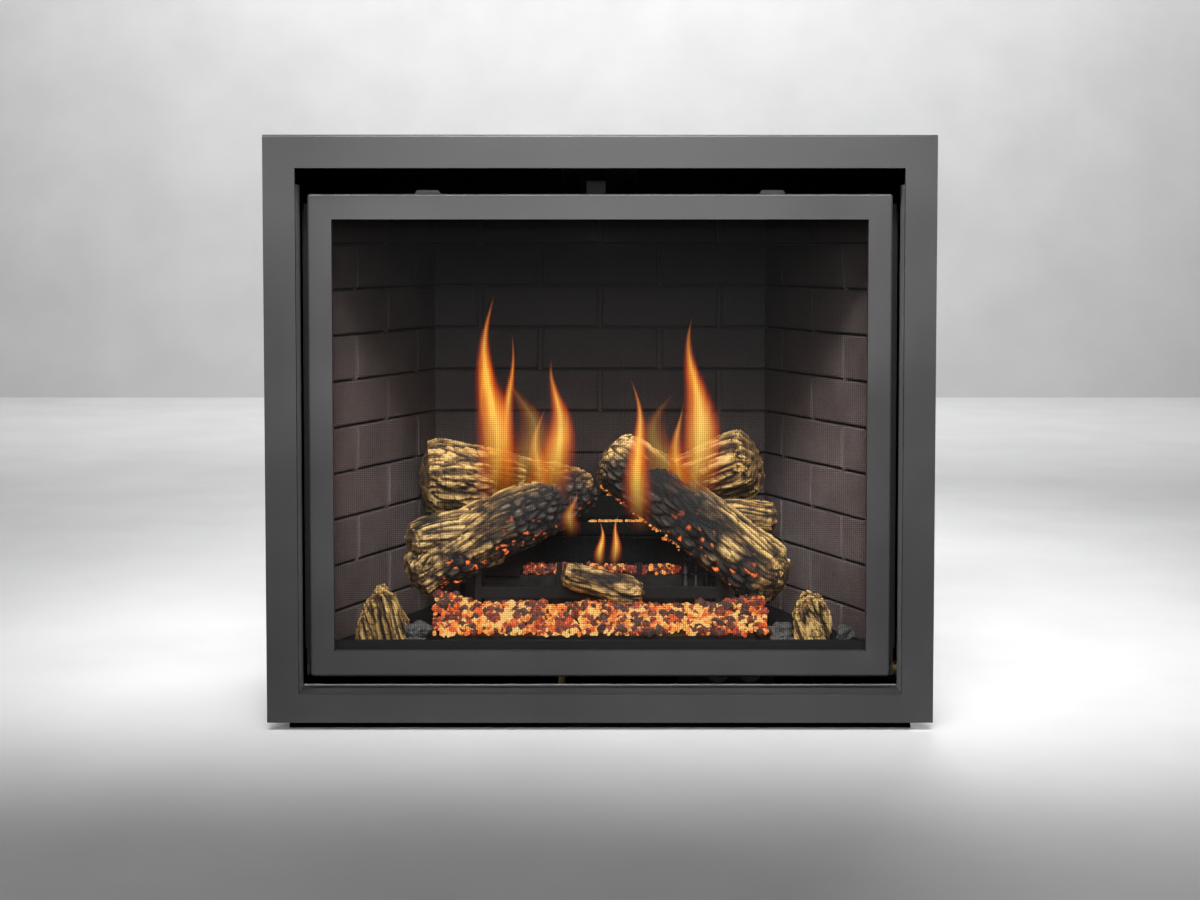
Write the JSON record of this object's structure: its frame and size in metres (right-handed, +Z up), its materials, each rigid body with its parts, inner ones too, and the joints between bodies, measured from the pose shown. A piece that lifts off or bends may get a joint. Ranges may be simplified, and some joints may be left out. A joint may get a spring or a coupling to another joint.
{
  "type": "gas fireplace",
  "caption": "Built-in direct-vent gas fireplace: square dark trim, lift-off mesh screen, tilting glass door, brick-look firebox with a log set on a glowing ember burner.",
  "frame": {"origin": "middle of the underside of the whole unit, on the plane it stands on", "axes": "+Z up, +X to the viewer's right, the trim and the glass face -Y"},
  "size_m": [1, 0.52, 0.9],
  "materials": {
    "charcoal_paint": "satin powder coat",
    "galvanised_steel": "galvanised sheet",
    "firebox_black": "matte heat-proof paint",
    "brick_liner": "moulded ceramic fibre brick",
    "door_glass": "clear ceramic glass",
    "gasket_rope": "woven glass fibre",
    "mesh_wire": "matte black wire",
    "burner_steel": "heat-stained steel",
    "cast_grate": "rough black casting",
    "bark": "painted ceramic fibre bark",
    "embers": "glowing ember wool",
    "rock": "rough lava rock",
    "brass": "machined",
    "valve_alloy": "die cast",
    "gas_pipe": "drawn tube",
    "control_plastic": "moulded",
    "button_plastic": "moulded red",
    "white_ceramic": "glazed"
  },
  "bodies": {
    "casing": {"trim_surround": "charcoal_paint", "trim_side_returns": "charcoal_paint", "trim_bottom_ledge": "charcoal_paint", "base_pan": "galvanised_steel", "casing_left_side": "galvanised_steel", "casing_right_side": "galvanised_steel", "casing_back": "galvanised_steel", "casing_top": "galvanised_steel", "nailing_flanges": "galvanised_steel", "casing_screws": "galvanised_steel", "outer_air_collar": "galvanised_steel", "inner_flue_collar": "galvanised_steel", "floor_supports": "galvanised_steel", "valve_bracket": "galvanised_steel", "firebox_face": "firebox_black", "firebox_floor": "firebox_black", "firebox_left_wall": "firebox_black", "firebox_right_wall": "firebox_black", "firebox_back_wall": "firebox_black", "firebox_ceiling": "firebox_black", "hood_bracket": "firebox_black", "rear_log_stand": "firebox_black", "door_pivot_brackets": "firebox_black", "left_brick_panel": "brick_liner", "right_brick_panel": "brick_liner", "rear_brick_panel": "brick_liner", "burner": "burner_steel", "venturi_tube": "burner_steel", "pilot_bracket": "burner_steel", "thermopile": "burner_steel", "log_grate": "cast_grate", "log_front_right": "bark", "log_front_left": "bark", "log_rear_left": "bark", "log_rear_right": "bark", "log_front_small": "bark", "log_chunks": "bark", "ember_bed": "embers", "lava_rocks": "rock", "burner_orifice": "brass", "gas_inlet_fitting": "brass", "shutoff_valve": "brass", "gas_valve": "valve_alloy", "gas_tubes": "gas_pipe", "piezo_igniter": "control_plastic", "igniter_electrode": "white_ceramic"},
    "glass_door": {"door_frame": "firebox_black", "door_glass": "door_glass", "door_gasket": "gasket_rope", "glass_clips": "galvanised_steel", "door_pivot_pins": "firebox_black"},
    "barrier_screen": {"screen_frame": "charcoal_paint", "screen_mesh": "mesh_wire", "screen_hooks": "charcoal_paint"},
    "gas_knob": {"gas_knob": "control_plastic"},
    "flame_knob": {"flame_knob": "control_plastic"},
    "piezo_button": {"piezo_button": "button_plastic"},
    "shutoff_lever": {"shutoff_lever": "button_plastic"},
    "air_shutter": {"air_shutter": "burner_steel"}
  },
  "joints": [
    {"name": "door_tilt", "type": "hinge", "parent": "casing", "child": "glass_door", "pos_m": [0, -0.211, 0.084], "axis": [1, 0, 0], "range_deg": [0, 35]},
    {"name": "screen_lift", "type": "slide", "parent": "glass_door", "child": "barrier_screen", "axis": [0, 0, 1], "range_m": [0, 0.015]},
    {"name": "gas_knob_turn", "type": "hinge", "parent": "casing", "child": "gas_knob", "pos_m": [0.182, -0.165, 0.07], "axis": [0, -1, 0], "range_deg": [0, 180]},
    {"name": "flame_knob_turn", "type": "hinge", "parent": "casing", "child": "flame_knob", "pos_m": [0.232, -0.165, 0.07], "axis": [0, -1, 0], "range_deg": [0, 120]},
    {"name": "igniter_push", "type": "slide", "parent": "casing", "child": "piezo_button", "axis": [0, 1, 0], "range_m": [0, 0.006], "stiffness_N_per_m": 900},
    {"name": "shutoff_turn", "type": "hinge", "parent": "casing", "child": "shutoff_lever", "pos_m": [0.4, -0.11, 0.08], "axis": [0, 0, -1], "range_deg": [0, 90]},
    {"name": "air_shutter_turn", "type": "hinge", "parent": "casing", "child": "air_shutter", "pos_m": [-0.06, -0.12, 0.072], "axis": [0, 0, 1], "range_deg": [0, 60]}
  ]
}
